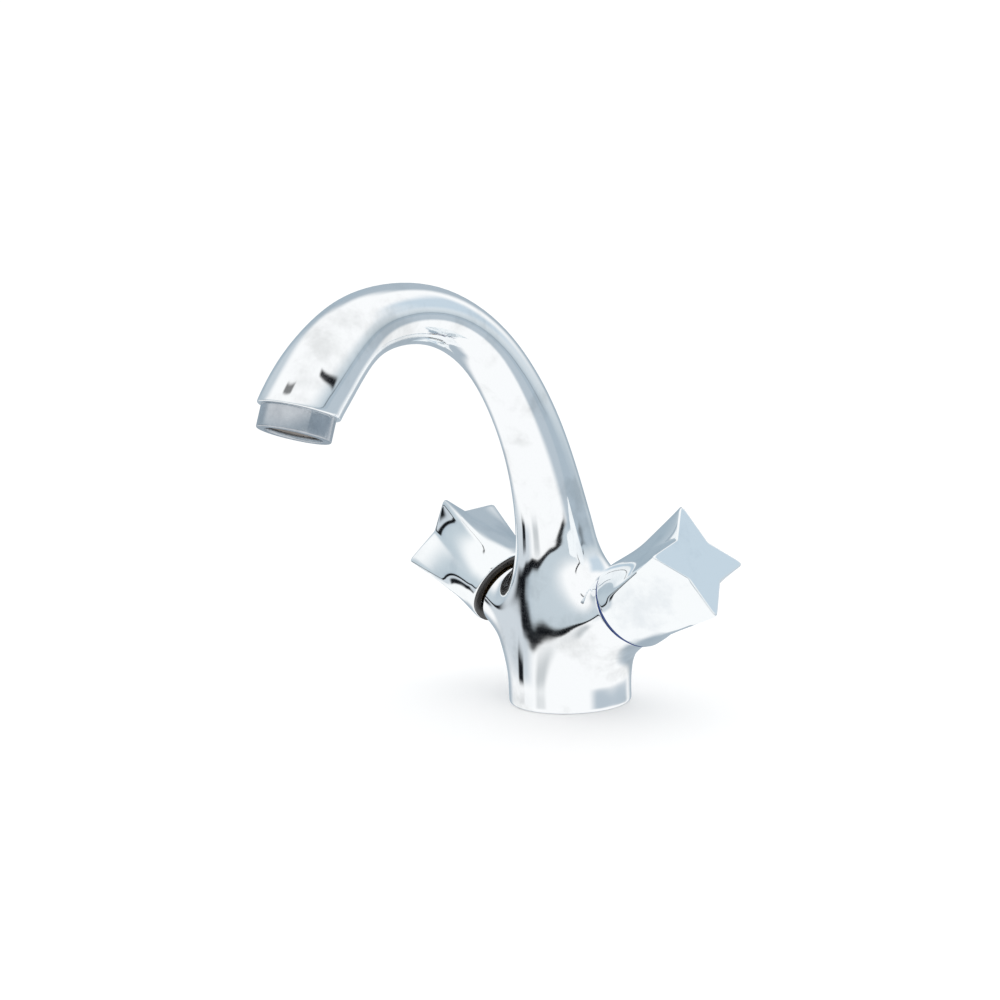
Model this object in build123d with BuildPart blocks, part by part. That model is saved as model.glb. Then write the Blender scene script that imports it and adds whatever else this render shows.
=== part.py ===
"""Two-handle basin mixer tap: a one-piece cast body and spout, two ceramic-disc valves
under four-pointed star handles, and a screw-in aerator. Millimetres, +Z up.

The origin is the centre of the base on the deck. The spout reaches towards -Y, the user.
Hot is on the user's left, -X, and cold on the right, +X. Heights called h run outwards
along a valve's own axis, from the point where it crosses the vertical axis of the base.
"""

import os
from math import cos, radians, sin

from build123d import *

# ---- driving dimensions ---------------------------------------------------------------
CLEAR = 0.1  # between a loose piece and what it sits in
RUNNING = 0.04  # radial play of a running fit
FACE = 0.03  # film between faces that slide on each other
PAST = 1.0  # how far a cut runs past the surface that it opens

# cast body; each station has its centre's y and z, its outer radius, and the degrees that
# its axis leans from straight up towards the user
BASE_R = 25.0
BASE_EDGE_R = 1.0
TRUNK = [
    (0.0, 10.0, 25.0, 0.0),
    (0.0, 18.0, 25.0, 1.0),
    (-0.6, 29.0, 24.0, 4.5),
    (-1.8, 40.0, 21.6, 7.0),
    (-3.3, 51.0, 18.9, 7.0),
]
SPOUT = [
    (-4.7, 61.5, 16.9, 7.0),
    (-7.6, 79.5, 14.7, 11.5),
    (-12.8, 99.0, 13.2, 19.0),
    (-22.3, 121.0, 12.1, 29.5),
    (-39.8, 144.6, 10.9, 49.0),
    (-65.5, 157.8, 11.0, 78.0),
    (-91.8, 156.8, 11.8, 105.5),
    (-107.1, 149.0, 13.1, 126.0),
    (-119.2, 137.3, 14.5, 143.0),
]
OUTLET = (-126.9, 127.4, 14.8, 161.0)
OUTLET_LIP = 0.8
# arms that carry the valves
VALVE_TILT = 31.5  # degrees above the horizontal
VALVE_Z = 20.8  # where both valve axes cross the vertical axis
ARM_ROOT_R = 17.2
RIM_R, RIM_H = 15.3, 38.8
RIM_EDGE_R = 0.8
ARM_BLEND_R = 8.0
# waterways inside the body
WALL = 2.4
CHAMBER_R = 14.0
SEAT_H = 14.0
SEAT_BORE_R, SEAT_BORE_DEPTH = 4.5, 6.5
VALVE_BORE_R = 10.4
MIX_X, MIX_R, MIX_FOOT_Z = 11.0, 3.6, 38.0
# underside: recess, hose ports M10 x 1, stud hole M8 and gasket groove
RECESS_R, RECESS_Z = 18.5, 6.0
PORT_X, PORT_Y, PORT_R, PORT_DEPTH = 8.6, -4.5, 4.5, 10.0
FEED_R, FEED_TOP_Z = 3.5, 26.0
STUD_Y, STUD_R, STUD_DEPTH = 9.5, 3.35, 12.0
GASKET_OUT_R, GASKET_IN_R, GASKET_T = 23.0, 20.0, 2.2
# aerator M24 x 1; depths run from the outlet's rim, out along its axis
THREAD_R, THREAD_TOP = 11.9, -7.0
THREAD_BORE_TOP = -9.0
SEAM = 0.3
COLLAR_R, COLLAR_FOOT = 13.2, 9.7
COLLAR_EDGE = 0.5
FLAT_ACROSS, FLAT_TOP, FLAT_FOOT = 25.4, 2.4, 7.4
STRAINER_BORE_R, LIP_BORE_R, LIP_TOP = 10.9, 10.2, 8.4
SCREEN_TOP, SCREEN_T, SCREEN_PITCH, SCREEN_HOLE = 7.65, 0.5, 2.0, 1.4
STRAINER_TOP, STRAINER_FOOT, STRAINER_PLATE_T, STRAINER_T = -6.6, 7.4, 2.0, 1.4
STRAINER_HOLE_R, STRAINER_RIB_T, STRAINER_RIBS = 0.9, 0.8, 3
STRAINER_ROWS = [(7.4, 12), (3.9, 6)]  # circles of holes: radius and how many
# valve cartridge, G1/2 headwork
CAGE_R, CAGE_BORE_R, CAGE_FOOT_H = 8.9, 7.4, 14.8
ROOF_H = 25.6
SHANK_R = 10.3
FLANGE_R, FLANGE_FOOT_H, FLANGE_TOP_H = 12.8, 39.8, 42.3
HEX_ACROSS, HEX_TOP_H = 17.0, 48.3
NECK_R, NECK_TOP_H = 7.0, 54.0
SEAL_BORE_R, SEAL_T = 4.8, 3.0
DISC_R, DISC_T = 7.3, 3.0
PORT_IN_R, PORT_OUT_R, PORT_ANGLE = 1.8, 5.6, 68.0
EAR_W, EAR_R = 3.0, 8.4
TRAVEL = 90.0  # degrees, from closed to open
BAR_W, BAR_R, BAR_T = 5.0, 7.2, 1.7
STOP_IN_R, STOP_ANGLE = 6.2, 41.0
STOP_MIDDLE = 135.0
WINDOW_ANGLE, WINDOW_MIDDLE, WINDOW_EDGE = 62.0, 45.0, 0.5
SOFT_INSET = 0.3  # how far a washer or flat seal stays inside the edge that presses on it
TANG_W, TANG_L, TANG_T = 2.0, 10.0, 1.0
FIXED_DISC_H = SEAT_H + SEAL_T
MOVING_DISC_H = FIXED_DISC_H + DISC_T + FACE
BAR_FOOT_H = MOVING_DISC_H + DISC_T + FACE
# spindle and what sits on it
SPINDLE_R, SPINDLE_TOP_H = 4.0, 66.4
SPLINE_FOOT_H, SPLINE_IN_R, SPLINES = 57.0, 3.5, 20
SPLINE_H, SPLINE_W = 0.4, 0.6
ORING_R, ORING_FLOOR_R, ORING_HEIGHTS = 0.7, 2.58, (31.0, 35.0)
ORING_ROOM = 0.15  # beside the ring, in its groove
CLIP_R, CLIP_SLOT_R, CLIP_T, CLIP_H, CLIP_GAP = 5.6, 3.3, 0.8, 54.1, 4.6
# star handles
SKIRT_H, SKIRT_BORE_R, SKIRT_BORE_TOP_H = 42.0, 15.4, 45.6
STAR_H = 81.8
# height, then the outline's corners there: how far out the ridges and the hollows between
# them lie before rounding, and the radius that each is rounded to
STAR = [
    (42.0, 19.0, 19.0, 16.5, 16.5),
    (47.0, 19.2, 18.4, 15.0, 15.0),
    (54.0, 19.8, 17.1, 8.0, 14.0),
    (62.0, 21.0, 15.5, 3.5, 14.0),
    (71.0, 22.6, 13.7, 1.8, 12.0),
    (81.0, 24.3, 11.8, 1.1, 10.0),
]
STAR_FACE = (STAR_H, 22.8, 11.0, 0.7, 10.8)
BOSS_R, BOSS_FOOT_H = 9.0, 56.0
CORE_TOP_R, CORE_TOP_H = 10.6, 72.0
BUSH_R, BUSH_FOOT_H, BUSH_TOP_H = 6.5, 56.3, 67.0
GRUB_H, GRUB_R, GRUB_IN, GRUB_L = 61.5, 2.5, 4.15, 6.0
GRUB_HEX, GRUB_HEX_DEPTH, GRUB_CHAMFER = 2.5, 2.5, 0.3
# index rings, clipped into the mouths of the handles
RING_R, RING_BORE_R, RING_FOOT_H, RING_TOP_H = 17.0, 14.2, 40.8, 44.6
COLD_TURN, HOT_TURN = 78.1, 57.4  # degrees from the front to the handle's first ridge
COLD_GRUB, HOT_GRUB = 45.0, 225.0  # degrees from the first ridge to the grub screw


class Valve:
    """One valve's name and the planes across and along its axis."""

    def __init__(self, name, side, turn, grub):
        self.name = name
        out = Vector(side * cos(radians(VALVE_TILT)), 0, sin(radians(VALVE_TILT)))
        self.base = Plane((0, 0, VALVE_Z), x_dir=(0, -1, 0), z_dir=out)
        self.section = Plane(self.base.origin, x_dir=self.base.x_dir, z_dir=-self.base.y_dir)
        self.axis = Axis(self.base.origin, out)
        self.star = Plane(self.base.origin, x_dir=self.away(turn), z_dir=out)
        self.grub = Plane(self.base.origin + out * GRUB_H, x_dir=out, z_dir=self.away(turn + grub))

    def away(self, angle):
        """The direction straight away from the axis, at an angle from the front."""
        return self.base.x_dir * cos(radians(angle)) + self.base.y_dir * sin(radians(angle))


HOT = Valve("hot", -1, HOT_TURN, HOT_GRUB)
COLD = Valve("cold", 1, COLD_TURN, COLD_GRUB)


def section_plane(y, z, lean):
    """A plane across the body, where its axis leans so far from straight up to the user."""
    along = Vector(0, -sin(radians(lean)), cos(radians(lean)))
    return Plane((0, y, z), x_dir=along.cross(Vector(1, 0, 0)), z_dir=along)


outlet = section_plane(OUTLET[0], OUTLET[1], OUTLET[3])

os.makedirs("parts", exist_ok=True)


# ---- shapes used by several pieces ------------------------------------------------------
def finish(piece, label):
    """Names a finished piece and writes it."""
    piece.part.label = label
    export_step(piece.part, f"parts/{label}.step")


def ring(plane, foot, top, outer, inner=0.0, mode=Mode.ADD):
    """A disc, or a ring where it has an inner radius, between two heights over a plane."""
    with BuildSketch(plane.offset(foot)) as profile:
        Circle(outer)
        if inner > 0:
            Circle(inner, mode=Mode.SUBTRACT)
    extrude(profile.sketch, amount=top - foot, mode=mode)


def bar(plane, foot, top, length, width, angle=0.0, mode=Mode.ADD):
    """A straight bar through the axis, between two heights over a plane."""
    with BuildSketch(plane.offset(foot)) as profile:
        Rectangle(length, width, rotation=angle)
    extrude(profile.sketch, amount=top - foot, mode=mode)


def sectors(plane, foot, top, outer, inner, width, middle, mode=Mode.ADD):
    """Two opposite ring sectors, centred on an angle, between two heights over a plane."""
    with BuildSketch(plane.offset(foot)) as profile:
        for start in (middle - width / 2, middle - width / 2 + 180):
            with BuildLine():
                far = CenterArc((0, 0), outer, start, width)
                near = CenterArc((0, 0), inner, start, width)
                Line(far @ 0, near @ 0)
                Line(far @ 1, near @ 1)
            make_face()
    extrude(profile.sketch, amount=top - foot, mode=mode)


# ---- cast body and spout ----------------------------------------------------------------
def loft_circles(planes, radii, mode=Mode.ADD):
    sections = []
    for plane, r in zip(planes, radii):
        with BuildSketch(plane) as section:
            Circle(r)
        sections.append(section.sketch)
    loft(sections, mode=mode)


def blend_edges(body):
    """The closed curves where the two arms leave the trunk."""
    low, high = TRUNK[0][1] + PAST, SPOUT[0][1]
    curved = body.edges().filter_by(GeomType.BSPLINE).filter_by_position(Axis.Z, low, high)
    return curved.filter_by(lambda edge: edge.bounding_box().min.Z > low)


def body_casting():
    stations = TRUNK + SPOUT + [OUTLET]
    planes = [section_plane(y, z, lean) for y, z, _, lean in stations]
    radii = [r for _, _, r, _ in stations]
    # the waterway starts at the top of the trunk and narrows to the aerator's seat
    floor = len(TRUNK) - 1
    core_planes = planes[floor:-1] + [outlet.offset(THREAD_BORE_TOP / 2)]
    cores = [min(r - WALL, CHAMBER_R) for r in radii[floor:-3]] + [LIP_BORE_R] * 3
    with BuildPart() as piece:
        loft_circles(planes, radii)
        ring(Plane.XY, 0, TRUNK[0][1], BASE_R)
        for valve in (HOT, COLD):
            with BuildSketch(valve.section) as arm:
                with BuildLine():
                    Polyline((0, 0), (ARM_ROOT_R, 0), (RIM_R, RIM_H), (0, RIM_H), close=True)
                make_face()
                fillet(arm.vertices().group_by(Axis.Y)[-1].sort_by(Axis.X)[-1], RIM_EDGE_R)
            revolve(axis=valve.axis)
        fillet(blend_edges(piece), ARM_BLEND_R)
        fillet(piece.edges().sort_by(Axis.Z)[0], BASE_EDGE_R)
        fillet(piece.edges().sort_by(Axis.Y)[0], OUTLET_LIP)
        # waterways: spout, valve bores with their seats, and the passages between them
        loft_circles(core_planes, cores, mode=Mode.SUBTRACT)
        ring(outlet, THREAD_BORE_TOP, 0, THREAD_R + CLEAR, mode=Mode.SUBTRACT)
        for valve in (HOT, COLD):
            ring(valve.base, SEAT_H, RIM_H, VALVE_BORE_R, mode=Mode.SUBTRACT)
            ring(valve.base, SEAT_H - SEAT_BORE_DEPTH, SEAT_H, SEAT_BORE_R, mode=Mode.SUBTRACT)
        # underside: recess, gasket groove, hose ports with their feeds, and the stud hole
        ring(Plane.XY, 0, RECESS_Z, RECESS_R, mode=Mode.SUBTRACT)
        ring(Plane.XY, 0, GASKET_T, GASKET_OUT_R, GASKET_IN_R, mode=Mode.SUBTRACT)
        for side in (-1, 1):
            port = Plane((side * PORT_X, PORT_Y, RECESS_Z))
            ring(port, 0, PORT_DEPTH, PORT_R, mode=Mode.SUBTRACT)
            ring(port, PORT_DEPTH, FEED_TOP_Z - RECESS_Z, FEED_R, mode=Mode.SUBTRACT)
            passage = Plane((side * MIX_X, TRUNK[-1][0], 0))
            ring(passage, MIX_FOOT_Z, TRUNK[-1][1] + PAST, MIX_R, mode=Mode.SUBTRACT)
        ring(Plane((0, STUD_Y, RECESS_Z)), 0, STUD_DEPTH, STUD_R, mode=Mode.SUBTRACT)
    finish(piece, "body_casting")


def base_gasket():
    with BuildPart() as piece:
        ring(Plane.XY, 0, GASKET_T, GASKET_OUT_R - CLEAR, GASKET_IN_R + CLEAR)
    finish(piece, "base_gasket")


# ---- aerator ----------------------------------------------------------------------------
def aerator_housing():
    with BuildPart() as piece:
        ring(outlet, THREAD_TOP, SEAM, THREAD_R)
        ring(outlet, SEAM, COLLAR_FOOT, COLLAR_R)
        fillet(piece.edges().sort_by(Axis(outlet.origin, outlet.z_dir))[-1], COLLAR_EDGE)
        # two spanner flats
        for side in (-1, 1):
            flat = Plane(outlet.origin, x_dir=outlet.z_dir, z_dir=(side, 0, 0)).offset(FLAT_ACROSS / 2)
            with BuildSketch(flat) as face:
                with Locations(((FLAT_TOP + FLAT_FOOT) / 2, 0)):
                    Rectangle(FLAT_FOOT - FLAT_TOP, COLLAR_R * 2)
            extrude(face.sketch, amount=COLLAR_R, mode=Mode.SUBTRACT)
        ring(outlet, THREAD_TOP, LIP_TOP, STRAINER_BORE_R, mode=Mode.SUBTRACT)
        ring(outlet, LIP_TOP, COLLAR_FOOT, LIP_BORE_R, mode=Mode.SUBTRACT)
    finish(piece, "aerator_housing")


def aerator_gasket():
    with BuildPart() as piece:
        ring(outlet, THREAD_BORE_TOP, THREAD_TOP, THREAD_R, LIP_BORE_R)
    finish(piece, "aerator_gasket")


def aerator_strainer():
    """The plastic flow straightener: a drilled plate on a ribbed sleeve."""
    plate_foot = STRAINER_TOP + STRAINER_PLATE_T
    outer = STRAINER_BORE_R - CLEAR
    with BuildPart() as piece:
        ring(outlet, STRAINER_TOP, STRAINER_FOOT, outer, outer - STRAINER_T)
        ring(outlet, STRAINER_TOP, plate_foot, outer)
        with BuildSketch(outlet.offset(STRAINER_TOP)) as holes:
            for row_r, count in STRAINER_ROWS:
                with PolarLocations(row_r, count):
                    Circle(STRAINER_HOLE_R)
        extrude(holes.sketch, amount=STRAINER_PLATE_T, mode=Mode.SUBTRACT)
        for rib in range(STRAINER_RIBS):
            length = outer * 2 - STRAINER_T
            bar(outlet, plate_foot, STRAINER_FOOT, length, STRAINER_RIB_T, 180 / STRAINER_RIBS * rib)
    finish(piece, "aerator_strainer")


def aerator_screen():
    """The stainless mesh across the outlet."""
    count = int(LIP_BORE_R * 2 / SCREEN_PITCH) // 2
    reach = LIP_BORE_R - SCREEN_PITCH / 2
    steps = [n * SCREEN_PITCH for n in range(-count, count + 1)]
    with BuildPart() as piece:
        with BuildSketch(outlet.offset(SCREEN_TOP)) as mesh:
            Circle(STRAINER_BORE_R - CLEAR)
            with Locations([(x, y) for x in steps for y in steps if x * x + y * y < reach * reach]):
                Rectangle(SCREEN_HOLE, SCREEN_HOLE, mode=Mode.SUBTRACT)
        extrude(mesh.sketch, amount=SCREEN_T)
    finish(piece, "aerator_screen")


# ---- valve cartridges: the pieces that stay still ---------------------------------------
def cartridge_body(valve):
    """The brass headwork: cage, threaded shank, flange, hexagon and neck."""
    disc_top = FIXED_DISC_H + DISC_T
    with BuildPart() as piece:
        ring(valve.base, CAGE_FOOT_H, ROOF_H, CAGE_R)
        ring(valve.base, ROOF_H, FLANGE_FOOT_H, SHANK_R)
        ring(valve.base, FLANGE_FOOT_H, FLANGE_TOP_H, FLANGE_R)
        with BuildSketch(valve.base.offset(FLANGE_TOP_H)) as hexagon:
            RegularPolygon(HEX_ACROSS / 2, 6, major_radius=False)
        extrude(hexagon.sketch, amount=HEX_TOP_H - FLANGE_TOP_H)
        ring(valve.base, HEX_TOP_H, NECK_TOP_H, NECK_R)
        ring(valve.base, CAGE_FOOT_H, ROOF_H, CAGE_BORE_R, mode=Mode.SUBTRACT)
        ring(valve.base, ROOF_H, NECK_TOP_H, SPINDLE_R + RUNNING, mode=Mode.SUBTRACT)
        # ribs under the roof that stop the spindle's bar, and the windows between them
        sectors(
            valve.base, BAR_FOOT_H + CLEAR, ROOF_H, CAGE_BORE_R + CLEAR, STOP_IN_R,
            STOP_ANGLE, STOP_MIDDLE,
        )
        sectors(
            valve.base, disc_top + WINDOW_EDGE, ROOF_H - WINDOW_EDGE, CAGE_R + PAST,
            CAGE_BORE_R - CLEAR, WINDOW_ANGLE, WINDOW_MIDDLE, mode=Mode.SUBTRACT,
        )
        # slots for the fixed disc's ears
        length, width = (CAGE_R + PAST) * 2, EAR_W + CLEAR * 2
        bar(valve.base, CAGE_FOOT_H, disc_top, length, width, 90, mode=Mode.SUBTRACT)
    finish(piece, f"{valve.name}_cartridge_body")


def flange_seal(valve):
    with BuildPart() as piece:
        ring(valve.base, RIM_H, FLANGE_FOOT_H, FLANGE_R - SOFT_INSET, SHANK_R + CLEAR)
    finish(piece, f"{valve.name}_flange_seal")


def seat_seal(valve):
    with BuildPart() as piece:
        ring(valve.base, SEAT_H, FIXED_DISC_H, CAGE_BORE_R - CLEAR, SEAL_BORE_R)
    finish(piece, f"{valve.name}_seat_seal")


def fixed_disc(valve):
    """The lower ceramic disc, kept from turning by two ears in the cage's slots."""
    foot, top = FIXED_DISC_H, FIXED_DISC_H + DISC_T
    with BuildPart() as piece:
        ring(valve.base, foot, top, DISC_R)
        bar(valve.base, foot, top, EAR_R * 2, EAR_W, 90)
        sectors(valve.base, foot, top, PORT_OUT_R, PORT_IN_R, PORT_ANGLE, 0, mode=Mode.SUBTRACT)
    finish(piece, f"{valve.name}_fixed_disc")


# ---- valve cartridges: the pieces that turn ---------------------------------------------
def moving_disc(valve):
    """The upper ceramic disc: its ports meet the fixed disc's after a quarter turn."""
    foot, top = MOVING_DISC_H, MOVING_DISC_H + DISC_T
    length, width = TANG_L + CLEAR * 2, TANG_W + CLEAR * 2
    with BuildPart() as piece:
        ring(valve.base, foot, top, DISC_R)
        sectors(valve.base, foot, top, PORT_OUT_R, PORT_IN_R, PORT_ANGLE, TRAVEL, mode=Mode.SUBTRACT)
        bar(valve.base, top - TANG_T - CLEAR, top, length, width, mode=Mode.SUBTRACT)
    finish(piece, f"{valve.name}_moving_disc")


def spindle(valve):
    """A bar that drives the disc, a round stem with two ring grooves and a splined head."""
    bar_top = BAR_FOOT_H + BAR_T
    with BuildPart() as piece:
        with BuildSketch(valve.base.offset(BAR_FOOT_H)) as driver:
            Circle(BAR_R)
            Rectangle(BAR_R * 2, BAR_W, mode=Mode.INTERSECT)
        extrude(driver.sketch, amount=BAR_T)
        bar(valve.base, BAR_FOOT_H - TANG_T, BAR_FOOT_H, TANG_L, TANG_W)
        ring(valve.base, bar_top, SPLINE_FOOT_H, SPINDLE_R)
        with BuildSketch(valve.base.offset(SPLINE_FOOT_H)) as head:
            Circle(SPLINE_IN_R)
            with PolarLocations(SPLINE_IN_R, SPLINES):
                Rectangle(SPLINE_H * 2, SPLINE_W)
        extrude(head.sketch, amount=SPINDLE_TOP_H - SPLINE_FOOT_H)
        grooves = [(h - ORING_R - ORING_ROOM, h + ORING_R + ORING_ROOM, ORING_FLOOR_R) for h in ORING_HEIGHTS]
        grooves.append((CLIP_H, CLIP_H + CLIP_T + CLEAR, CLIP_SLOT_R))
        for foot, top, floor_r in grooves:
            ring(valve.base, foot, top, SPINDLE_R + CLEAR, floor_r, mode=Mode.SUBTRACT)
    finish(piece, f"{valve.name}_spindle")


def slip_washer(valve):
    """A plastic washer between the spindle's bar and the roof of the cage."""
    with BuildPart() as piece:
        foot = BAR_FOOT_H + BAR_T
        ring(valve.base, foot, ROOF_H - FACE, STOP_IN_R - SOFT_INSET, SPINDLE_R + CLEAR)
    finish(piece, f"{valve.name}_slip_washer")


def spindle_orings(valve):
    with BuildPart() as piece:
        for h in ORING_HEIGHTS:
            with BuildSketch(valve.section) as section:
                with Locations((ORING_FLOOR_R + ORING_R + RUNNING / 2, h)):
                    Circle(ORING_R)
            revolve(section.sketch, axis=valve.axis)
    finish(piece, f"{valve.name}_spindle_orings")


def circlip(valve):
    """The open ring that keeps the spindle in the headwork."""
    foot = CLIP_H + CLEAR / 2
    with BuildPart() as piece:
        ring(valve.base, foot, foot + CLIP_T, CLIP_R, CLIP_SLOT_R + CLEAR)
        with BuildSketch(valve.base.offset(foot)) as gap:
            with Locations((CLIP_R, 0)):
                Rectangle(CLIP_R * 2, CLIP_GAP)
        extrude(gap.sketch, amount=CLIP_T, mode=Mode.SUBTRACT)
    finish(piece, f"{valve.name}_circlip")


# ---- handles and what they carry --------------------------------------------------------
def star_section(plane, ridge, hollow, ridge_round, hollow_round):
    """The handle's outline at one height: four rounded ridges with hollows between them."""
    corners = []
    for quarter in range(4):
        for distance, angle in ((ridge, 90 * quarter), (hollow, 90 * quarter + 45)):
            corners.append((distance * cos(radians(angle)), distance * sin(radians(angle))))
    with BuildSketch(plane) as section:
        with BuildLine():
            FilletPolyline(*corners, radius=[ridge_round, hollow_round] * 4, close=True)
        make_face()
    return section.sketch


def handle(valve):
    """The star handle, hollow from its mouth up around the boss that holds the bush."""
    with BuildPart() as piece:
        sections = []
        for h, *outline in STAR + [STAR_FACE]:
            sections.append(star_section(valve.star.offset(h), *outline))
        loft(sections[:-1])
        loft(sections[-2:], ruled=True)
        # mouth and core, around the boss
        with BuildSketch(valve.section) as core:
            with BuildLine():
                Polyline(
                    (0, SKIRT_H - PAST), (SKIRT_BORE_R, SKIRT_H - PAST), (SKIRT_BORE_R, SKIRT_BORE_TOP_H),
                    (CORE_TOP_R, CORE_TOP_H), (BOSS_R, CORE_TOP_H), (BOSS_R, BOSS_FOOT_H), (0, BOSS_FOOT_H),
                    close=True,
                )
            make_face()
        revolve(core.sketch, axis=valve.axis, mode=Mode.SUBTRACT)
        ring(valve.base, BOSS_FOOT_H - PAST, BUSH_TOP_H + CLEAR, BUSH_R + CLEAR / 2, mode=Mode.SUBTRACT)
        ring(valve.grub, 0, STAR_FACE[1], GRUB_R + CLEAR / 2, mode=Mode.SUBTRACT)
    finish(piece, f"{valve.name}_handle")


def spline_bush(valve):
    """The plastic bush between the handle and the spindle's splines."""
    with BuildPart() as piece:
        ring(valve.base, BUSH_FOOT_H, BUSH_TOP_H, BUSH_R)
        with BuildSketch(valve.base.offset(SPLINE_FOOT_H)) as bore:
            Circle(SPLINE_IN_R + CLEAR)
            with PolarLocations(SPLINE_IN_R, SPLINES):
                Rectangle((SPLINE_H + CLEAR) * 2, SPLINE_W + CLEAR)
        extrude(bore.sketch, amount=BUSH_TOP_H - SPLINE_FOOT_H, mode=Mode.SUBTRACT)
        ring(valve.base, BUSH_FOOT_H, SPLINE_FOOT_H, SPINDLE_R + CLEAR, mode=Mode.SUBTRACT)
        ring(valve.grub, 0, BUSH_R + PAST, GRUB_R + CLEAR / 2, mode=Mode.SUBTRACT)
    finish(piece, f"{valve.name}_spline_bush")


def grub_screw(valve):
    """The M5 socket set screw that holds the handle on the spindle."""
    with BuildPart() as piece:
        tip = valve.grub.offset(GRUB_IN)
        ring(tip, 0, GRUB_L, GRUB_R)
        chamfer(piece.edges(), GRUB_CHAMFER)
        with BuildSketch(tip.offset(GRUB_L - GRUB_HEX_DEPTH)) as socket:
            RegularPolygon(GRUB_HEX / 2, 6, major_radius=False)
        extrude(socket.sketch, amount=GRUB_HEX_DEPTH, mode=Mode.SUBTRACT)
    finish(piece, f"{valve.name}_grub_screw")


def index_ring(valve):
    """The coloured ring clipped into the handle's mouth: a flange on a short sleeve."""
    with BuildPart() as piece:
        ring(valve.base, RING_FOOT_H, SKIRT_H - FACE, RING_R, RING_BORE_R)
        ring(valve.base, SKIRT_H - FACE, RING_TOP_H, SKIRT_BORE_R - CLEAR, RING_BORE_R)
    finish(piece, f"{valve.name}_index_ring")


body_casting()
base_gasket()
aerator_housing()
aerator_gasket()
aerator_strainer()
aerator_screen()
for valve in (HOT, COLD):
    cartridge_body(valve)
    flange_seal(valve)
    seat_seal(valve)
    fixed_disc(valve)
    moving_disc(valve)
    spindle(valve)
    slip_washer(valve)
    spindle_orings(valve)
    circlip(valve)
    handle(valve)
    spline_bush(valve)
    grub_screw(valve)
    index_ring(valve)
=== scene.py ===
"""Chrome basin mixer tap: its finished surfaces, materials, light and camera."""

from math import atan2, cos, hypot, pi, radians, sin

import bmesh
import bpy
from mathutils import Matrix, Vector


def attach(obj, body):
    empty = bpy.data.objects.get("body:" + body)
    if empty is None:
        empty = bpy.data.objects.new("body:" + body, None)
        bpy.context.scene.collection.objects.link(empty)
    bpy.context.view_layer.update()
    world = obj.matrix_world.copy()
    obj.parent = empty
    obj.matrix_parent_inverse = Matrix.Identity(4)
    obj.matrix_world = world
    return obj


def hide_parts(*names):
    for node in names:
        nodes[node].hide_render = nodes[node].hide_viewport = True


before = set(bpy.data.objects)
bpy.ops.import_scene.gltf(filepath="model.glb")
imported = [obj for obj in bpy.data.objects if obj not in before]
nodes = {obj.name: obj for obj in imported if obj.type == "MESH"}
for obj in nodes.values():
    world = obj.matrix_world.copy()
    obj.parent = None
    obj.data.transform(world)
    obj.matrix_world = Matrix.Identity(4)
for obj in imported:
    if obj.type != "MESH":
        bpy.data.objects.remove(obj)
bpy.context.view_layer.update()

# ---- body and spout -----------------------------------------------------------------------
# One brass casting, ground, polished and chrome plated: a round foot that flares into two
# arms for the valves and runs up into the arched spout. It is hollow: the spout's waterway,
# the two valve bores, and a recess under the foot with the ports for the hoses and the stud.
MM = 0.001
RING_CORNERS = 8
# a smoothed ring of eight corners shrinks to this much of the circle through its corners
RING_SHRINKS_TO = (4 + 2 * cos(2 * pi / RING_CORNERS)) / 6
FOOT_R = 25.0
# centre's y and z, outer radius, and the lean of the axis from straight up to the user
TRUNK = [
    (0.0, 8.0, 25.0, 0.0),
    (0.0, 16.0, 25.0, 1.0),
    (-1.3, 36.0, 22.6, 6.5),
    (-4.2, 58.0, 17.55, 7.0),
]
SPOUT = [
    (-5.7, 69.0, 16.0, 8.6),
    (-7.6, 79.5, 14.7, 11.5),
    (-12.8, 99.0, 13.2, 19.0),
    (-22.3, 121.0, 12.1, 29.5),
    (-39.8, 144.6, 10.9, 49.0),
    (-65.5, 157.8, 11.0, 78.0),
    (-91.8, 156.8, 11.8, 105.5),
    (-107.1, 149.0, 13.1, 126.0),
    (-119.2, 137.3, 14.4, 143.0),
]
OUTLET = (-126.9, 127.4, 14.8, 161.0)
WALL, CHAMBER_R, AERATOR_SEAT_R = 2.4, 14.0, 10.2
CHAMBER_FOOT = (-2.5, 46.0, CHAMBER_R, 7.0)
OUTLET_BORE_R, OUTLET_BORE_DEPTH = 12.0, 9.0
VALVE_TILT, VALVE_Z = radians(31.5), 20.8
ARM_ROOT_R, ARM_ROOT_H, ARM_SLANT, PATCH_X = 16.2, 30.0, 5.9, 12.0
RIM_R, RIM_H, RIM_EDGE = 15.3, 38.8, 0.9
VALVE_BORE_R, SEAT_H, SEAT_R, SEAT_DEPTH = 10.4, 14.0, 4.5, 6.5
# the underside, from the foot's edge inwards: radius and height
UNDERSIDE = [(23.0, 0.0), (23.0, 2.2), (20.0, 2.2), (20.0, 0.0), (18.5, 0.0), (18.5, 6.0)]
# x, y, radius and depth
PORTS = [(-8.6, -4.5, 4.5, 10.0), (8.6, -4.5, 4.5, 10.0), (0.0, 9.5, 3.35, 12.0)]
FIRST_RING_H, EDGE_ROUNDING, LIP_H = 2.0, 1.2, 1.3
# a corner of the trunk this far from its axis is at the front or the back
OFF_AXIS = 5
# how far below a port's mouth its cutter starts
CUTTER_START = 2
# faces that meet at more than this stay a sharp edge
SHARP_ANGLE = radians(55)


def ring_at(y, z, radius, lean):
    """Carries a circle of radius 1 to a ring of the body."""
    size = Matrix.Scale(radius * MM / RING_SHRINKS_TO, 4)
    return Matrix.Translation((0, y * MM, z * MM)) @ Matrix.Rotation(radians(lean), 4, "X") @ size


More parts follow.
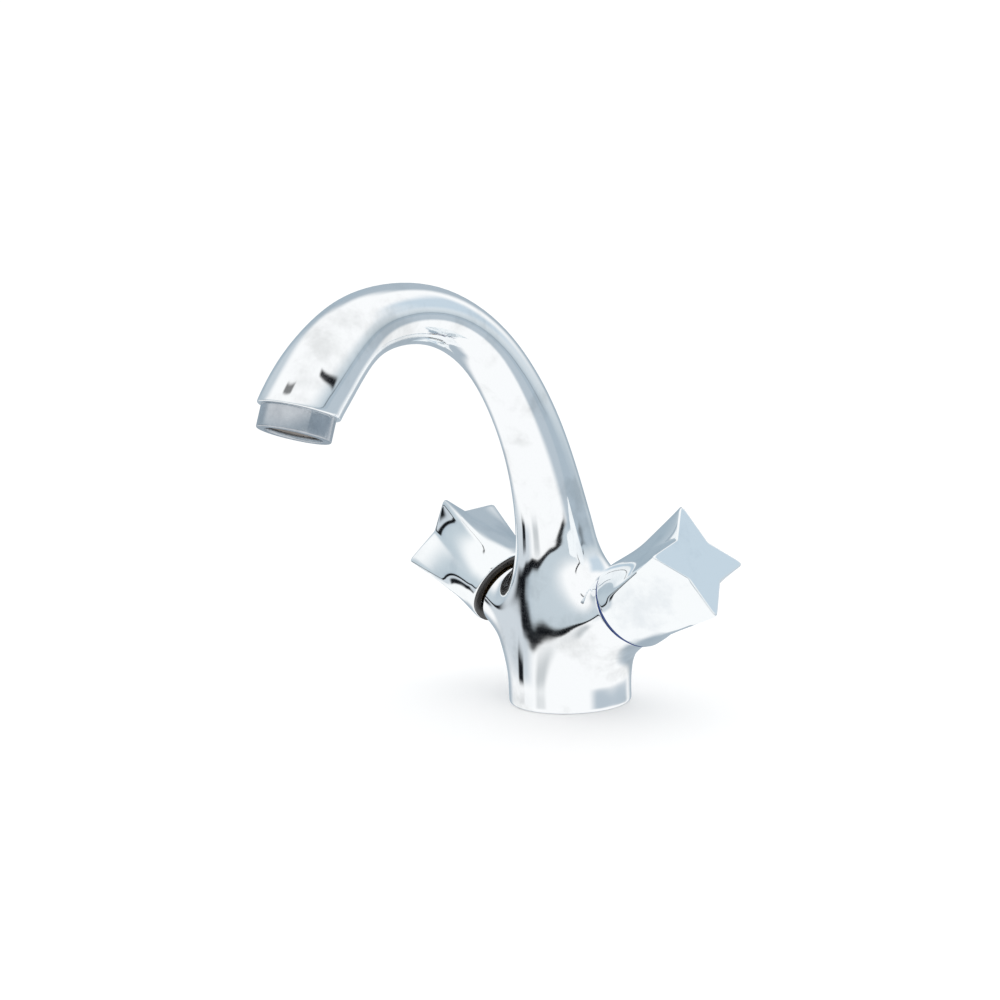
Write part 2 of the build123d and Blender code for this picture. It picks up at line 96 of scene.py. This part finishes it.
def valve_frame(side):
    """The valve's axes: Z out along the spindle, X to the user, origin on the base's axis."""
    out = Vector((side * cos(VALVE_TILT), 0, sin(VALVE_TILT)))
    front = Vector((0, -1, 0))
    turn = Matrix((front, out.cross(front), out)).transposed().to_4x4()
    return Matrix.Translation((0, 0, VALVE_Z * MM)) @ turn


def grow(bm, edges, change):
    """Extrudes an open ring of edges and returns the new ring, carried by a matrix."""
    made = bmesh.ops.extrude_edge_only(bm, edges=edges)["geom"]
    verts = [v for v in made if isinstance(v, bmesh.types.BMVert)]
    # a new edge takes over the crease of the one that it came from
    sharpen(bm, {e for v in verts for e in v.link_edges}, 0.0)
    bmesh.ops.transform(bm, matrix=change, verts=verts)
    grown = [e for e in made if isinstance(e, bmesh.types.BMEdge)]
    return [e for e in grown if all(v in verts for v in e.verts)]


def sharpen(bm, edges, amount=1.0):
    layer = bm.edges.layers.float["crease_edge"]
    for edge in edges:
        edge[layer] = amount


def finished(bm, name, levels, cutters=()):
    """Makes the object: smoothed, with holes cut, and creases where faces meet at an angle."""
    bmesh.ops.recalc_face_normals(bm, faces=bm.faces)
    mesh = bpy.data.meshes.new(name)
    bm.to_mesh(mesh)
    bm.free()
    piece = bpy.data.objects.new(name, mesh)
    bpy.context.collection.objects.link(piece)
    if levels:
        smoothing = piece.modifiers.new("smoothing", "SUBSURF")
        smoothing.levels = smoothing.render_levels = levels
    for cutter in cutters:
        cut = piece.modifiers.new("cut", "BOOLEAN")
        cut.object, cut.operation, cut.solver = cutter, "DIFFERENCE", "EXACT"
    bpy.context.view_layer.update()
    shown = piece.evaluated_get(bpy.context.evaluated_depsgraph_get())
    piece.data = bpy.data.meshes.new_from_object(shown)
    piece.data.name = name
    piece.modifiers.clear()
    for cutter in cutters:
        bpy.data.objects.remove(cutter)
    for face in piece.data.polygons:
        face.use_smooth = True
    piece.data.set_sharp_from_angle(angle=SHARP_ANGLE)
    return piece


def pushed_out(stations):
    """Smoothing cuts inside the rings of a bent tube, so each ring is moved and widened as much."""
    rings = [stations[0]]
    for before, here, after in zip(stations, stations[1:], stations[2:]):
        y, z, radius, lean = (h + (h - (b + a) / 2) / 3 for b, h, a in zip(before, here, after))
        bends = cos(radians(here[3] - before[3])) + cos(radians(after[3] - here[3]))
        rings.append((y, z, radius * 6 / (4 + bends), lean))
    return rings + [stations[-1]]


def tube(bm, edges, ring, stations):
    """Extrudes a ring through stations, and returns the last ring and every ring's edges."""
    loops = []
    for station in stations:
        target = ring_at(*station)
        edges = grow(bm, edges, target @ ring.inverted())
        ring = target
        loops.append(edges)
    return ring, loops


def pull(bm, faces):
    """Extrudes a patch of faces, and returns its new corners and faces."""
    made = bmesh.ops.extrude_face_region(bm, geom=faces)["geom"]
    bmesh.ops.delete(bm, geom=faces, context="FACES")
    corners = [v for v in made if isinstance(v, bmesh.types.BMVert)]
    sharpen(bm, {e for v in corners for e in v.link_edges}, 0.0)
    return corners, [f for f in made if isinstance(f, bmesh.types.BMFace)]


def round_out(bm, faces, valve, side):
    """Extrudes the side of the trunk into an arm's first ring, which slants as it leaves."""
    corners, faces = pull(bm, faces)
    for vert in corners:
        row = min((1, 2, 3), key=lambda n: abs(vert.co.z / MM - TRUNK[n][1]))
        across = vert.co.y / MM - TRUNK[row][0]
        up, front = row - 2, (across < -OFF_AXIS) - (across > OFF_AXIS)
        angle = atan2(-side * up, front)
        reach = ARM_ROOT_R / RING_SHRINKS_TO if up or front else 0
        height = ARM_ROOT_H - (side * sin(angle) * ARM_SLANT if reach else 0)
        vert.co = valve @ Vector((reach * cos(angle) * MM, reach * sin(angle) * MM, height * MM))
    return faces


def border(faces):
    return [e for f in faces for e in f.edges if sum(g in faces for g in e.link_faces) == 1]


def body_mesh():
    bm = bmesh.new()
    bm.edges.layers.float.new("crease_edge")
    foot = ring_at(0, FIRST_RING_H, FOOT_R, 0)
    start = bmesh.ops.create_circle(
        bm, cap_ends=False, segments=RING_CORNERS, radius=1, matrix=foot,
    )
    first = list({e for v in start["verts"] for e in v.link_edges})
    # outside, from the foot to the outlet
    outside = pushed_out([(0, FIRST_RING_H, FOOT_R, 0)] + TRUNK + SPOUT + [OUTLET])[1:]
    ring, loops = tube(bm, first, foot, outside)
    # the two by two faces on each side that the arms grow from
    low, high = (TRUNK[n][1] * MM for n in (1, 3))
    patches = {}
    for side in (-1, 1):
        centres = [(face, face.calc_center_median()) for face in bm.faces]
        patches[side] = [
            face for face, c in centres if side * c.x > PATCH_X * MM and low < c.z < high
        ]
    # the outlet's rounded lip, its threaded bore, and the waterway back to the chamber
    y, z, radius, lean = OUTLET
    along = Vector((0, -sin(radians(lean)), cos(radians(lean))))
    lip = [(y + along.y * d, z + along.z * d, r, lean) for r, d in (
        (radius, LIP_H), (radius - EDGE_ROUNDING, LIP_H), (OUTLET_BORE_R, LIP_H),
        (OUTLET_BORE_R, -OUTLET_BORE_DEPTH), (AERATOR_SEAT_R, -OUTLET_BORE_DEPTH),
    )]
    ring, lips = tube(bm, loops[-1], ring, lip)
    for edges in lips[2:]:
        sharpen(bm, edges)
    seat = (y - along.y * OUTLET_BORE_DEPTH, z - along.z * OUTLET_BORE_DEPTH, AERATOR_SEAT_R, lean)
    widths = [min(r - WALL, CHAMBER_R) for _, _, r, _ in SPOUT[:-2]] + [AERATOR_SEAT_R] * 2
    cores = [(y, z, width, lean) for (y, z, _, lean), width in zip(SPOUT, widths)]
    ring, inner = tube(bm, lips[-1], ring, pushed_out([seat] + cores[::-1] + [CHAMBER_FOOT])[1:])
    sharpen(bm, inner[-1])
    bmesh.ops.edgeloop_fill(bm, edges=inner[-1])
    # underside of the foot
    edge = [(0, 0, FOOT_R, 0), (0, 0, FOOT_R - EDGE_ROUNDING, 0)]
    ring, loops = tube(bm, first, foot, edge + [(0, h, r, 0) for r, h in UNDERSIDE])
    for edges in loops[2:]:
        sharpen(bm, edges)
    bmesh.ops.edgeloop_fill(bm, edges=loops[-1])
    # arms
    for side in (-1, 1):
        valve = valve_frame(side)
        faces = round_out(bm, patches[side], valve, side)
        # one more ring, square to the axis just below the rim
        corners, faces = pull(bm, faces)
        scale = RIM_R / ARM_ROOT_R
        square = Matrix.Translation((0, 0, (RIM_H - RIM_EDGE) * MM))
        square = square @ Matrix.Diagonal((scale, scale, 0, 1))
        bmesh.ops.transform(bm, matrix=valve @ square @ valve.inverted(), verts=corners)
        profile = [
            (RIM_H, RIM_R), (RIM_H, RIM_R - RIM_EDGE),
            (RIM_H, VALVE_BORE_R), (SEAT_H, VALVE_BORE_R),
            (SEAT_H, SEAT_R), (SEAT_H - SEAT_DEPTH, SEAT_R),
        ]
        height, radius = RIM_H - RIM_EDGE, RIM_R
        for index, (h, r) in enumerate(profile):
            corners, faces = pull(bm, faces)
            wider = Matrix.Diagonal((r / radius, r / radius, 1, 1))
            change = valve @ Matrix.Translation((0, 0, h * MM)) @ wider
            change = change @ Matrix.Translation((0, 0, -height * MM)) @ valve.inverted()
            bmesh.ops.transform(bm, matrix=change, verts=corners)
            height, radius = h, r
            if index > 1:
                sharpen(bm, border(faces))
    return bm


def drill(place, radius, foot, top):
    """A round cutter along the Z axis of a frame, between two heights in mm."""
    bm = bmesh.new()
    bmesh.ops.create_cone(
        bm, cap_ends=True, segments=48, radius1=radius * MM, radius2=radius * MM,
        depth=(top - foot) * MM, matrix=place @ Matrix.Translation((0, 0, (top + foot) / 2 * MM)),
    )
    mesh = bpy.data.meshes.new("drill")
    bm.to_mesh(mesh)
    bm.free()
    cutter = bpy.data.objects.new("drill", mesh)
    bpy.context.collection.objects.link(cutter)
    return cutter


ports = []
for x, y, radius, depth in PORTS:
    roof = UNDERSIDE[-1][1]
    port = Matrix.Translation((x * MM, y * MM, 0))
    ports.append(drill(port, radius, roof - CUTTER_START, roof + depth))
body = finished(body_mesh(), "cast_body_and_spout", 3, ports)
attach(body, "tap_body")
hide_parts("body_casting")


class Wire:
    """A shader value. Python's own operators on it add Math nodes."""

    def __init__(self, paint, socket):
        self.paint, self.socket = paint, socket

    def _with(self, operation, first, second):
        return self.paint.node("ShaderNodeMath", {"operation": operation}, {0: first, 1: second})

    def __add__(self, other):
        return self._with("ADD", self, other)

    def __sub__(self, other):
        return self._with("SUBTRACT", self, other)

    def __rsub__(self, other):
        return self._with("SUBTRACT", other, self)

    def __mul__(self, other):
        return self._with("MULTIPLY", self, other)

    __radd__, __rmul__ = __add__, __mul__


class Paint:
    """A material on the Principled shader, and the node tree that it is drawn with."""

    def __init__(self, name):
        self.material = bpy.data.materials.new(name)
        self.material.use_nodes = True
        self.tree = self.material.node_tree
        self.shader = self.tree.nodes["Principled BSDF"]

    def node(self, kind, settings=None, inputs=None, output=0):
        made = self.tree.nodes.new(kind)
        for key, value in (settings or {}).items():
            if key == "stops":
                ramp = made.color_ramp
                while len(ramp.elements) < len(value):
                    ramp.elements.new(0.5)
                for element, (place, colour) in zip(ramp.elements, value):
                    element.position, element.color = place, (*colour, 1)
            else:
                setattr(made, key, value)
        for key, value in (inputs or {}).items():
            self.join(made.inputs[key], value)
        return Wire(self, made.outputs[output])

    def join(self, socket, value):
        if isinstance(value, Wire):
            self.tree.links.new(value.socket, socket)
        else:
            socket.default_value = value

    def set(self, **inputs):
        for key, value in inputs.items():
            self.join(self.shader.inputs[key.replace("_", " ")], value)
        return self.material

    def place(self, stretch=(1, 1, 1)):
        spot = self.node("ShaderNodeTexCoord", output="Object")
        return self.node("ShaderNodeMapping", {}, {"Vector": spot, "Scale": stretch})

    def noise(self, size, detail=2.0, stretch=(1, 1, 1), roughness=0.5):
        """Cloudy variation from 0 to 1, with features about so many metres across."""
        return self.node("ShaderNodeTexNoise", {}, {
            "Vector": self.place(stretch), "Scale": 1 / size,
            "Detail": detail, "Roughness": roughness,
        })

    def between(self, amount, low, high):
        return self.mix(amount, (*low, 1), (*high, 1))

    def mix(self, amount, under, over):
        inputs = {0: amount, 6: under, 7: over}
        return self.node("ShaderNodeMix", {"data_type": "RGBA"}, inputs, output=2)

    def bump(self, height, depth, strength=1.0):
        inputs = {"Height": height, "Distance": depth, "Strength": strength}
        return self.node("ShaderNodeBump", {}, inputs)


def chrome(name, bright, dull, roughness=0.03, wave=0.00006):
    """Bright plating over polished metal: faint clouding, wiping marks, a slight unevenness."""
    paint = Paint(name)
    clouds = paint.node("ShaderNodeMapRange", {"interpolation_type": "SMOOTHSTEP"}, {
        "Value": paint.noise(0.02, 4, roughness=0.6), "From Min": 0.30, "From Max": 0.52,
    })
    wiped = paint.noise(0.004, 4, stretch=(1, 1, 5))
    height = paint.noise(0.014, 1.5) + wiped * 0.01
    return paint.set(
        Metallic=1.0,
        Base_Color=paint.between(clouds, dull, bright),
        Roughness=roughness + clouds * wiped * 0.05,
        Normal=paint.bump(height, wave),
    )


def dress(piece, material):
    piece.data.materials.clear()
    piece.data.materials.append(material)


dress(body, chrome("plated_body", (0.95, 0.97, 0.985), (0.78, 0.80, 0.81)))

# ---- star handles -------------------------------------------------------------------------
# Hollow castings, chrome plated: a round mouth that draws out into four ridges and ends in a
# flat four-pointed star. A boss inside holds the splined bush, a set screw fixes it.
STAR_CORNERS = 64
SKIRT_R, SKIRT_H, STAR_H = 17.6, 42.0, 81.8
FLUTE_FOOT_H, FLUTE_GROWTH = 47.0, 1.12
POINT_R, POINT_HALF_ANGLE = 24.25, radians(27.1)
HOLLOW_ROUNDING = 0.06
HANDLE_TURN = {"hot": 57.4, "cold": 78.1}
SCREW_TURN = {"hot": 282.4, "cold": 123.1}
SCREW_H, SCREW_HOLE_R = 61.5, 2.55
# where the screw's hole starts and ends, out from the spindle's axis
SCREW_HOLE_FROM, SCREW_HOLE_TO = 5, 25
# heights of the rings that shape the four ridges
RIDGE_RINGS = [
    43.5, 45.0, 47.0, 49.0, 51.5, 54.0, 57.0, 60.0, 63.5, 67.0, 70.5, 74.0, 77.0, 79.5, 80.8,
]
# the rounded edge of the flat star: height, and how far in
STAR_EDGE = [(81.5, 0.12), (81.8, 0.55), (81.8, 1.3)]
STAR_EDGE_EXTRA = 0.2
# the rounded edge of the mouth: its height, and how far in its two rings are
MOUTH_EDGE_H, MOUTH_INSETS = 0.5, (0.1, 0.6)
# inside, from the mouth: height and radius
HANDLE_CORE = [
    (42.0, 15.4), (45.6, 15.4), (58.0, 12.9), (72.0, 10.6),
    (72.0, 9.0), (56.0, 9.0), (56.0, 6.55), (67.1, 6.55),
]


def star_reach(angle, height):
    """How far out the handle's surface is, at an angle from a ridge and a height on its axis."""
    off = abs((angle + pi / 4) % (pi / 2) - pi / 4)
    sharp = POINT_R * sin(POINT_HALF_ANGLE) / sin(POINT_HALF_ANGLE + off)
    hollow = POINT_R * sin(POINT_HALF_ANGLE) / sin(POINT_HALF_ANGLE + pi / 4)
    star = hypot(sharp, hollow * HOLLOW_ROUNDING)
    drawn = max(0.0, min(1.0, (height - FLUTE_FOOT_H) / (STAR_H - FLUTE_FOOT_H))) ** FLUTE_GROWTH
    return SKIRT_R + (star - SKIRT_R) * drawn


def handle_mesh(valve, turn):
    bm = bmesh.new()
    bm.edges.layers.float.new("crease_edge")
    start = bmesh.ops.create_circle(bm, cap_ends=False, segments=STAR_CORNERS, radius=1)["verts"]
    first = list({e for v in start for e in v.link_edges})

    def shape(verts, height, radius):
        for vert in verts:
            angle = atan2(vert.co.y, vert.co.x)
            reach = radius(angle)
            vert.co = Vector((reach * cos(angle), reach * sin(angle), height))

    def loop(edges, height, radius):
        edges = grow(bm, edges, Matrix.Identity(4))
        shape({v for e in edges for v in e.verts}, height, radius)
        return edges

    shape(start, SKIRT_H + MOUTH_EDGE_H, lambda a: SKIRT_R)
    # outside, up to the flat star
    edges = first
    for height in RIDGE_RINGS:
        edges = loop(edges, height, lambda a: star_reach(a, height))
    for height, inset in STAR_EDGE:
        share, extra = 1 - inset / SKIRT_R, inset * STAR_EDGE_EXTRA
        edges = loop(edges, height, lambda a: star_reach(a, STAR_H) * share - extra)
    for share in (0.75, 0.5, 0.25):
        edges = loop(edges, STAR_H, lambda a: star_reach(a, STAR_H) * share)
    bmesh.ops.edgeloop_fill(bm, edges=edges)
    # inside, from the mouth to the boss
    edges = first
    for inset in MOUTH_INSETS:
        edges = loop(edges, SKIRT_H, lambda a: SKIRT_R - inset)
    for height, radius in HANDLE_CORE:
        edges = loop(edges, height, lambda a: radius)
        sharpen(bm, edges)
    bmesh.ops.edgeloop_fill(bm, edges=edges)
    place = valve @ Matrix.Rotation(turn, 4, "Z") @ Matrix.Scale(MM, 4)
    bmesh.ops.transform(bm, matrix=place, verts=bm.verts)
    return bm


handle_chrome = chrome(
    "plated_handle", (0.94, 0.97, 0.985), (0.82, 0.86, 0.89), wave=0.00003,
)
for name, side in (("hot", -1), ("cold", 1)):
    valve = valve_frame(side)
    aim = valve @ Matrix.Translation((0, 0, SCREW_H * MM))
    aim = aim @ Matrix.Rotation(radians(SCREW_TURN[name]), 4, "Z")
    aim = aim @ Matrix.Rotation(pi / 2, 4, "Y")
    hole = drill(aim, SCREW_HOLE_R, SCREW_HOLE_FROM, SCREW_HOLE_TO)
    casting = handle_mesh(valve, radians(HANDLE_TURN[name]))
    star = finished(casting, f"{name}_star_handle", 1, [hole])
    dress(star, handle_chrome)
    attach(star, f"{name}_handle_set")
    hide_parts(f"{name}_handle")

# ---- aerator ------------------------------------------------------------------------------
# A turned brass collar with a male thread, two spanner flats and a duller nickel finish. It
# holds a drilled plastic strainer and, across the opening, a woven stainless screen.
OUT_FRAME = (
    Matrix.Translation((0, OUTLET[0] * MM, OUTLET[1] * MM))
    @ Matrix.Rotation(radians(OUTLET[3]), 4, "X")
)
# half section: radius and distance along the outlet's axis, from the thread's inner end
COLLAR = [
    (10.9, -7.0), (11.6, -7.0), (11.9, -6.7), (11.9, 0.3), (12.9, 0.3), (13.12, 0.38), (13.2, 0.6),
    (13.2, 9.1), (13.12, 9.4), (12.9, 9.62), (12.6, 9.7), (10.6, 9.7), (10.35, 9.62), (10.2, 9.4),
    (10.2, 8.4), (10.9, 8.4),
]
TURNED_STEPS = 128
FLAT_ACROSS, FLAT_TOP, FLAT_FOOT = 25.4, 2.4, 7.4
# how far the flats' cutters reach, outwards and to each side
CUTTER_OUT, CUTTER_ASIDE = 20, 15
# points of the spun section closer than this, in metres, are one
WELD = 1e-7


def turned(profile, place, steps=TURNED_STEPS):
    """Spins a closed half section round the Z axis of a place's own axes."""
    bm = bmesh.new()
    verts = [bm.verts.new((r * MM, 0, h * MM)) for r, h in profile]
    edges = [bm.edges.new((a, b)) for a, b in zip(verts, verts[1:] + verts[:1])]
    bmesh.ops.spin(
        bm, geom=verts + edges, angle=2 * pi, steps=steps, axis=(0, 0, 1), cent=(0, 0, 0),
        use_merge=True,
    )
    bmesh.ops.remove_doubles(bm, verts=bm.verts, dist=WELD)
    bmesh.ops.transform(bm, matrix=place, verts=bm.verts)
    return bm


def block(axes, low, high):
    """A box-shaped cutter between two corners, in mm along the given axes."""
    bm = bmesh.new()
    size = [(b - a) * MM for a, b in zip(low, high)]
    middle = [(b + a) / 2 * MM for a, b in zip(low, high)]
    place = axes @ Matrix.Translation(middle) @ Matrix.Diagonal((*size, 1))
    bmesh.ops.create_cube(bm, size=1, matrix=place)
    mesh = bpy.data.meshes.new("block")
    bm.to_mesh(mesh)
    bm.free()
    cutter = bpy.data.objects.new("block", mesh)
    bpy.context.collection.objects.link(cutter)
    return cutter


flats = []
for side in (-1, 1):
    near, far = sorted((side * FLAT_ACROSS / 2, side * CUTTER_OUT))
    low, high = (near, -CUTTER_ASIDE, FLAT_TOP), (far, CUTTER_ASIDE, FLAT_FOOT)
    flats.append(block(OUT_FRAME, low, high))
collar = finished(turned(COLLAR, OUT_FRAME), "aerator_collar", 0, flats)
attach(collar, "tap_body")
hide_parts("aerator_housing")
paint = Paint("dull_nickel")
lathe = paint.noise(0.0012, 3, stretch=(1, 1, 6))
stain = paint.noise(0.006, 4, roughness=0.65)
dress(collar, paint.set(
    Metallic=1.0,
    Base_Color=paint.between(stain, (0.33, 0.36, 0.40), (0.70, 0.74, 0.78)),
    Roughness=0.12 + stain * 0.16,
    Normal=paint.bump(lathe, 0.00002),
))

# ---- woven screen -------------------------------------------------------------------------
# Fine stainless wire across the outlet, pressed into a rolled rim. It is coloured dark and
# brownish, with a random mottle, and dull.
SCREEN_H, SCREEN_R, WIRE_PITCH, WIRE_T = 7.9, 10.7, 0.8, 0.3


def screen_mesh():
    bm = bmesh.new()
    cells = round(2 * SCREEN_R / WIRE_PITCH)
    bmesh.ops.create_grid(bm, x_segments=cells, y_segments=cells, size=SCREEN_R * MM)
    reach = (SCREEN_R - WIRE_PITCH / 2) * MM
    outside = [f for f in bm.faces if f.calc_center_median().length > reach]
    bmesh.ops.delete(bm, geom=outside, context="FACES")
    bmesh.ops.wireframe(
        bm, faces=bm.faces, thickness=WIRE_T * MM, use_replace=True, use_even_offset=True,
        use_boundary=True,
    )
    place = OUT_FRAME @ Matrix.Translation((0, 0, SCREEN_H * MM))
    bmesh.ops.transform(bm, matrix=place, verts=bm.verts)
    return bm


screen = finished(screen_mesh(), "woven_screen", 0)
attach(screen, "tap_body")
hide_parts("aerator_screen")
# dark brownish wire, mottled at random between a near-black and a mid brown
paint = Paint("dark_brownish_wire")
wire_mottle = paint.noise(0.0025, 3)
dress(screen, paint.set(
    Metallic=0.8,
    Base_Color=paint.between(wire_mottle, (0.10, 0.09, 0.085), (0.45, 0.42, 0.39)),
    Roughness=0.35 + wire_mottle * 0.3,
))

# ---- seals, valve parts, screws and rings -------------------------------------------------
# Small bought-in pieces that mostly sit out of sight: moulded rubber seals, acetal washers,
# turned brass, lapped ceramic, steel screws and clips, and the moulded rings that mark hot
# and cold. Each keeps its drawn shape and has the finish that it comes with, but the
# strainer's dark grey is painted shade.


def moulded(name, dark, light, roughness, grain=0.0004, depth=0.00001):
    """Rubber or plastic from a mould: an even skin with a fine grain and slight mottling."""
    paint = Paint(name)
    mottle = paint.noise(0.003, 3)
    return paint.set(
        Base_Color=paint.between(mottle, dark, light),
        Roughness=roughness + (mottle - 0.5) * 0.15,
        Normal=paint.bump(paint.noise(grain, 2), depth),
    )


def machined(name, dark, light, roughness):
    """Metal from the lathe: fine tool marks and a little tarnish."""
    paint = Paint(name)
    tarnish = paint.noise(0.005, 4)
    return paint.set(
        Metallic=1.0,
        Base_Color=paint.between(tarnish, dark, light),
        Roughness=roughness + tarnish * 0.15,
        Normal=paint.bump(paint.noise(0.0003, 2), 0.000006),
    )


rubber = moulded("black_rubber", (0.012, 0.012, 0.013), (0.035, 0.035, 0.037), 0.55)
acetal = moulded("natural_acetal", (0.55, 0.53, 0.49), (0.72, 0.71, 0.68), 0.4)
# the strainer's dark grey is painted shade, standing for the shade deep inside the outlet
strainer_painted_shade = moulded("acetal_with_painted_shade", (0.16, 0.14, 0.13), (0.34, 0.32, 0.30), 0.5)
ceramic = moulded("lapped_ceramic", (0.80, 0.78, 0.74), (0.88, 0.87, 0.84), 0.12, depth=0.000001)
brass = machined("turned_brass", (0.62, 0.42, 0.16), (0.83, 0.63, 0.30), 0.2)
steel = machined("plain_steel", (0.36, 0.37, 0.38), (0.58, 0.59, 0.60), 0.25)
blue = moulded("cold_blue", (0.008, 0.030, 0.150), (0.016, 0.055, 0.230), 0.28)
dark = moulded("hot_dark", (0.020, 0.020, 0.021), (0.075, 0.072, 0.070), 0.35)
finishes = {
    "gasket": rubber, "seal": rubber, "orings": rubber, "strainer": strainer_painted_shade, "disc": ceramic,
    "cartridge_body": brass, "spindle": brass, "slip_washer": acetal, "spline_bush": acetal,
    "circlip": steel, "grub_screw": steel, "cold_index_ring": blue, "hot_index_ring": dark,
}
for node_name, node in nodes.items():
    for ending, finish in finishes.items():
        if node_name.endswith(ending):
            for slot in node.material_slots:
                slot.material = finish

# ---- studio -------------------------------------------------------------------------------
# Even white light, with no lamps, and round the tap a tent of white paper that only the
# chrome sees. A dozen soft patches on it are toned one by one: pale blue-grey low down,
# darker grey ahead of the camera, and thin black gaps.
TENT_R, TENT_CENTRE_Z = 3.0, 0.08
BEHIND = radians(90 + 47.5)  # the way the camera looks, counted from +X
SKY_GLOW = 1.05


def card(name, colour_at):
    """A big sphere round the tap that shows in reflections and nowhere else."""
    bm = bmesh.new()
    bmesh.ops.create_uvsphere(bm, u_segments=96, v_segments=48, radius=TENT_R)
    bmesh.ops.reverse_faces(bm, faces=bm.faces)
    mesh = bpy.data.meshes.new(name)
    bm.to_mesh(mesh)
    bm.free()
    tent = bpy.data.objects.new(name, mesh)
    bpy.context.collection.objects.link(tent)
    tent.location.z = TENT_CENTRE_Z
    tent.visible_camera = tent.visible_diffuse = tent.visible_shadow = False
    tent.visible_transmission = tent.visible_volume_scatter = False
    paint = Paint(name)
    paint.set(
        Base_Color=(0, 0, 0, 1), Specular_IOR_Level=0.0,
        Emission_Color=colour_at(paint), Emission_Strength=1.0,
    )
    mesh.materials.append(paint.material)


def tent_colours(paint):
    """White paper, toned by height and by the way round from behind the tap."""
    spot = paint.node("ShaderNodeTexCoord", output="Object")
    swung = paint.node(
        "ShaderNodeVectorRotate", {"rotation_type": "Z_AXIS"}, {"Vector": spot, "Angle": -BEHIND},
    )
    x, y, z = (paint.node("ShaderNodeSeparateXYZ", {}, {0: swung}, output=n) for n in range(3))
    # both in degrees: up from level, and round from straight behind the tap
    height = paint.node("ShaderNodeMath", {"operation": "ARCSINE"}, {0: z * (1 / TENT_R)})
    height = height * (180 / pi)
    round_by = paint.node("ShaderNodeMath", {"operation": "ARCTAN2"}, {0: y, 1: x})
    round_by = round_by * (-180 / pi)

    def band(value, low, high, soft, soft_top=None):
        """1 between two values, falling off over soft edges."""
        ends = []
        for end, width in ((low, soft), (high, soft_top or soft)):
            ends.append(paint.node("ShaderNodeMapRange", {"interpolation_type": "SMOOTHSTEP"}, {
                "Value": value, "From Min": end - width, "From Max": end + width,
            }))
        return ends[0] * (1 - ends[1])

    wavy = height + (paint.noise(2.2, 1) - 0.5) * 5
    facing = 1 - band(round_by, -50, 145, 8)
    # how much of each tone covers the white, and that tone
    tones = [
        (band(wavy, -4, 16, 1, 14) * 0.8, (0.46, 0.55, 0.61)),
        (band(wavy, -75, 62, 10) * band(round_by, -36, 36, 12) * 0.85, (0.33, 0.41, 0.48)),
        (band(wavy, 4, 44, 10) * band(round_by, -75, -5, 14) * 0.7, (0.38, 0.47, 0.54)),
        (band(wavy, 16, 44, 8) * band(round_by, 60, 100, 10) * 0.9, (0.54, 0.65, 0.74)),
        (band(wavy, -20, 4, 4) * band(round_by, 50, 140, 10) * 0.85, (0.40, 0.48, 0.55)),
        (band(wavy, -14, -2, 3) * band(round_by, -100, -35, 12) * 0.6, (0.40, 0.48, 0.55)),
        (band(wavy, -17, -8, 4) * band(round_by, -130, -112, 5) * 0.6, (0.34, 0.38, 0.40)),
        (band(wavy, -6.0, -3.4, 0.6) * facing, (0.006, 0.007, 0.009)),
        (band(wavy, 1.6, 3.0, 0.6) * band(round_by, 95, 146, 10) * 0.7, (0.05, 0.06, 0.07)),
        (
            band(height - (round_by - 105) * 0.8, 2, 6, 1.0) * band(round_by, 108, 148, 4),
            (0.012, 0.013, 0.016),
        ),
        (band(wavy, -15, -9, 1.5) * band(round_by, -82, -68, 3), (0.01, 0.012, 0.015)),
        (band(height, 47, 51, 1.0) * band(round_by, -152, -122, 4) * 0.8, (0.02, 0.022, 0.025)),
    ]
    colour = (1.0, 1.0, 1.0, 1)
    for amount, tone in tones:
        colour = paint.mix(amount, colour, (*tone, 1))
    return colour


card("reflection_tent", tent_colours)

scene = bpy.context.scene
world = bpy.data.worlds.new("studio")
scene.world = world
world.use_nodes = True
world.node_tree.nodes["Background"].inputs["Color"].default_value = (1, 1, 1, 1)
world.node_tree.nodes["Background"].inputs["Strength"].default_value = SKY_GLOW
scene.view_settings.view_transform = "Standard"

# ---- camera and floor ---------------------------------------------------------------------
# The camera stands on the user's right, level with the spout. Under the tap lies a round sheet
# of white paper, which isn't reflected and glows faintly so that it stays pale.
EYE = Vector((0.4309, -0.4315, 0.1544))
HEADING, PITCH, ROLL = radians(47.47), radians(-6.14), radians(-2.21)
SENSOR_WIDTH, FOCAL_LENGTH = 36.0, 54.72
# where the lens's axis meets the picture, in shares of its width from the top left
LENS_CENTRE = (0.49687, 0.48553)
# the sheet lies just under the foot, so that the two faces don't share a plane
FLOOR_R, FLOOR_DROP, FLOOR_GLOW = 0.4, 0.0002, 0.12

camera = bpy.data.objects.new("camera", bpy.data.cameras.new("camera"))
bpy.context.collection.objects.link(camera)
scene.camera = camera
camera.data.sensor_width = SENSOR_WIDTH
camera.data.lens = FOCAL_LENGTH
camera.data.shift_x = 0.5 - LENS_CENTRE[0]
camera.data.shift_y = LENS_CENTRE[1] - 0.5
camera.matrix_world = (
    Matrix.Translation(EYE) @ Matrix.Rotation(HEADING, 4, "Z")
    @ Matrix.Rotation(pi / 2 + PITCH, 4, "X") @ Matrix.Rotation(ROLL, 4, "Z")
)

floor_mesh = bmesh.new()
bmesh.ops.create_circle(floor_mesh, cap_ends=True, segments=96, radius=FLOOR_R)
mesh = bpy.data.meshes.new("floor")
floor_mesh.to_mesh(mesh)
floor_mesh.free()
floor = bpy.data.objects.new("floor", mesh)
bpy.context.collection.objects.link(floor)
floor.location.z = -FLOOR_DROP
floor.visible_glossy = False
paper = Paint("floor_paper")
fibre = paper.noise(0.002, 3)
floor.data.materials.append(paper.set(
    Base_Color=paper.between(fibre, (0.93, 0.93, 0.93), (0.96, 0.96, 0.96)), Roughness=0.7,
    Emission_Color=(1, 1, 1, 1), Emission_Strength=FLOOR_GLOW,
))
